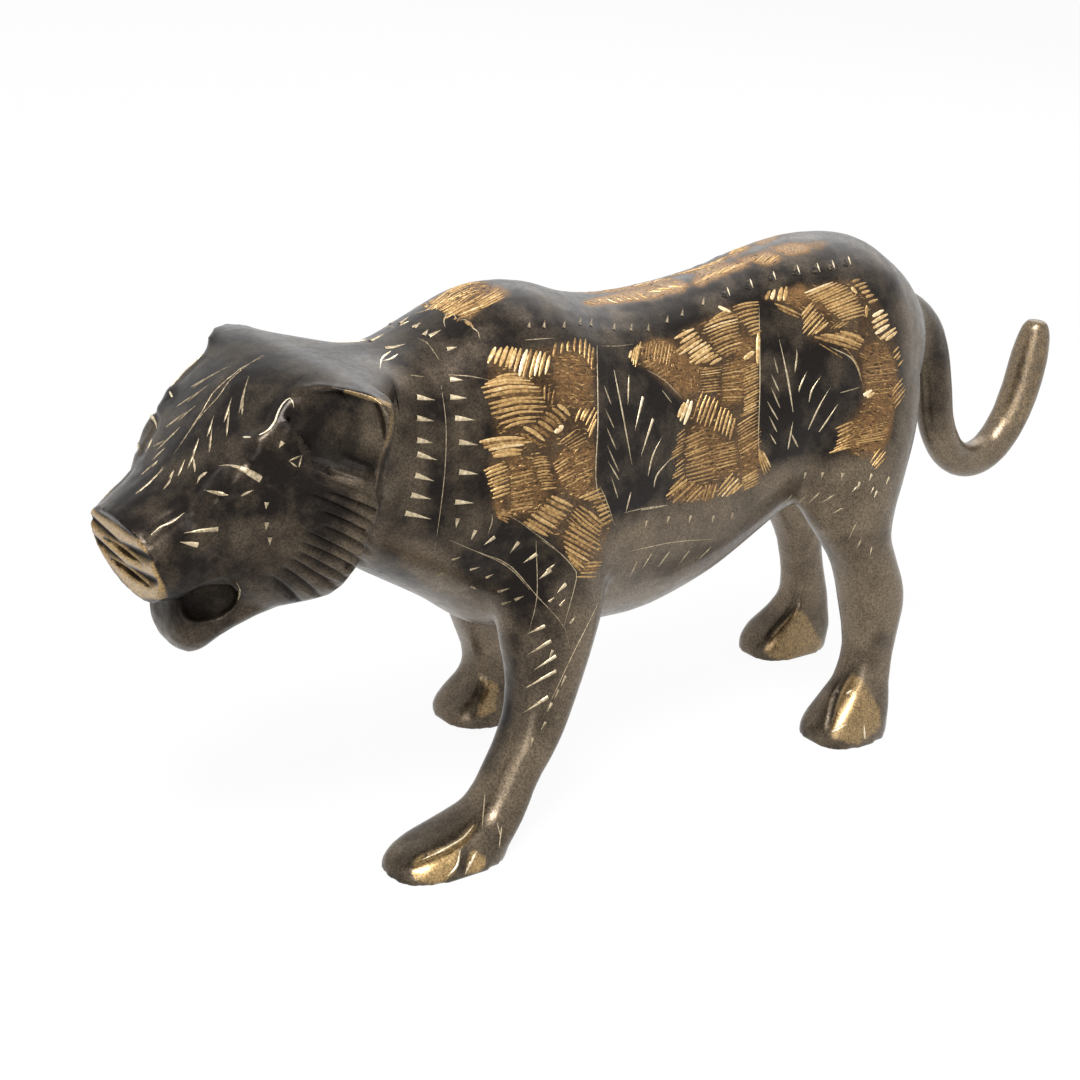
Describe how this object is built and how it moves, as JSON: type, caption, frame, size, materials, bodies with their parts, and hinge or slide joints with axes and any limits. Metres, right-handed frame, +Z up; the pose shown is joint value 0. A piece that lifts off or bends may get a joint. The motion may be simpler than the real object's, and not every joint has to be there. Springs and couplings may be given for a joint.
{
  "type": "leopard figurine",
  "caption": "Solid brass figurine of a walking leopard with its head low, its mouth open and its tail curled up, engraved all over under a dark patina.",
  "frame": {"origin": "on the floor, under the middle of the figurine's box", "axes": "+X from the nose towards the tail, +Z up, +Y towards the leopard's right side"},
  "size_m": [0.1942, 0.0504, 0.0844],
  "materials": {
    "patinated_brass": "cast brass under a dark brown-black patina, polished to a soft sheen, rubbed through to bare brass on the muzzle, paws and tail tip and in the engraving"
  },
  "bodies": {
    "root": {"leopard": "patinated_brass"}
  },
  "joints": []
}
